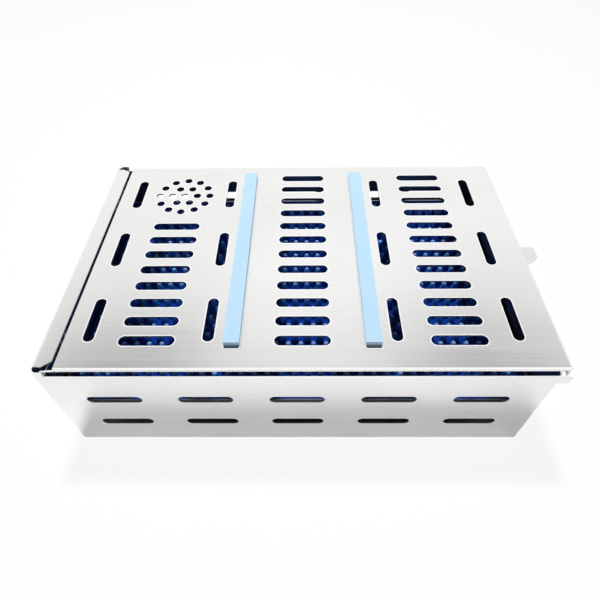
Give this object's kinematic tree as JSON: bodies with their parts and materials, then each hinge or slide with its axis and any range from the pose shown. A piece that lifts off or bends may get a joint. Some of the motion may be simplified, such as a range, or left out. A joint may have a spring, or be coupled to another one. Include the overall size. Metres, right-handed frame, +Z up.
{
  "type": "stainless steel instrument case",
  "caption": "Deep perforated steel case with a hinged lid, a sprung thumb latch, silicone rails and a lift-out tray that carries a finger mat.",
  "frame": {"origin": "centre of the box's underside, on the surface that the case stands on", "axes": "+X from the hinge side to the latch side, +Y from the front wall to the back wall, +Z up"},
  "size_m": [0.2914, 0.185, 0.0791],
  "materials": {
    "case_steel": "brushed along the length",
    "lid_steel": "brushed along the length",
    "tray_steel": "satin",
    "bracket_steel": "satin",
    "lever_steel": "satin with bright cut edges",
    "rivet_steel": "smooth",
    "pin_steel": "ground",
    "spring_steel": "drawn wire",
    "mat_silicone": "satin dark blue silicone",
    "rail_silicone": "satin light blue silicone"
  },
  "bodies": {
    "base": {"base_shell": "case_steel", "hinge_bracket_front": "bracket_steel", "hinge_bracket_back": "bracket_steel", "hinge_rivet_1": "rivet_steel", "hinge_rivet_2": "rivet_steel", "hinge_rivet_3": "rivet_steel", "hinge_rivet_4": "rivet_steel", "hinge_rod": "pin_steel", "hinge_rod_clip_front": "pin_steel", "hinge_rod_clip_back": "pin_steel", "tray_ledge_left": "bracket_steel", "tray_ledge_right": "bracket_steel", "left_ledge_rivet_1": "rivet_steel", "left_ledge_rivet_2": "rivet_steel", "left_ledge_rivet_3": "rivet_steel", "right_ledge_rivet_1": "rivet_steel", "right_ledge_rivet_2": "rivet_steel", "right_ledge_rivet_3": "rivet_steel", "insert_tray": "tray_steel", "finger_mat": "mat_silicone", "latch_bracket": "bracket_steel", "latch_rivet_1": "rivet_steel", "latch_rivet_2": "rivet_steel", "latch_pin": "pin_steel", "latch_pin_clip": "pin_steel", "latch_spring": "spring_steel"},
    "lid": {"lid_panel": "lid_steel", "lid_rail_left": "rail_silicone", "lid_rail_right": "rail_silicone"},
    "latch": {"latch_lever": "lever_steel"}
  },
  "joints": [
    {"name": "lid_hinge", "type": "hinge", "parent": "base", "child": "lid", "pos_m": [-0.1344, 0, 0.0714], "axis": [0, -1, 0], "range_deg": [0, 95]},
    {"name": "latch_pivot", "type": "hinge", "parent": "base", "child": "latch", "pos_m": [0.1422, 0, 0.066], "axis": [0, 1, 0], "range_deg": [0, 30], "stiffness_Nm_per_rad": 0.05, "springref_deg": -20.05, "deforming": ["latch_spring"]}
  ]
}
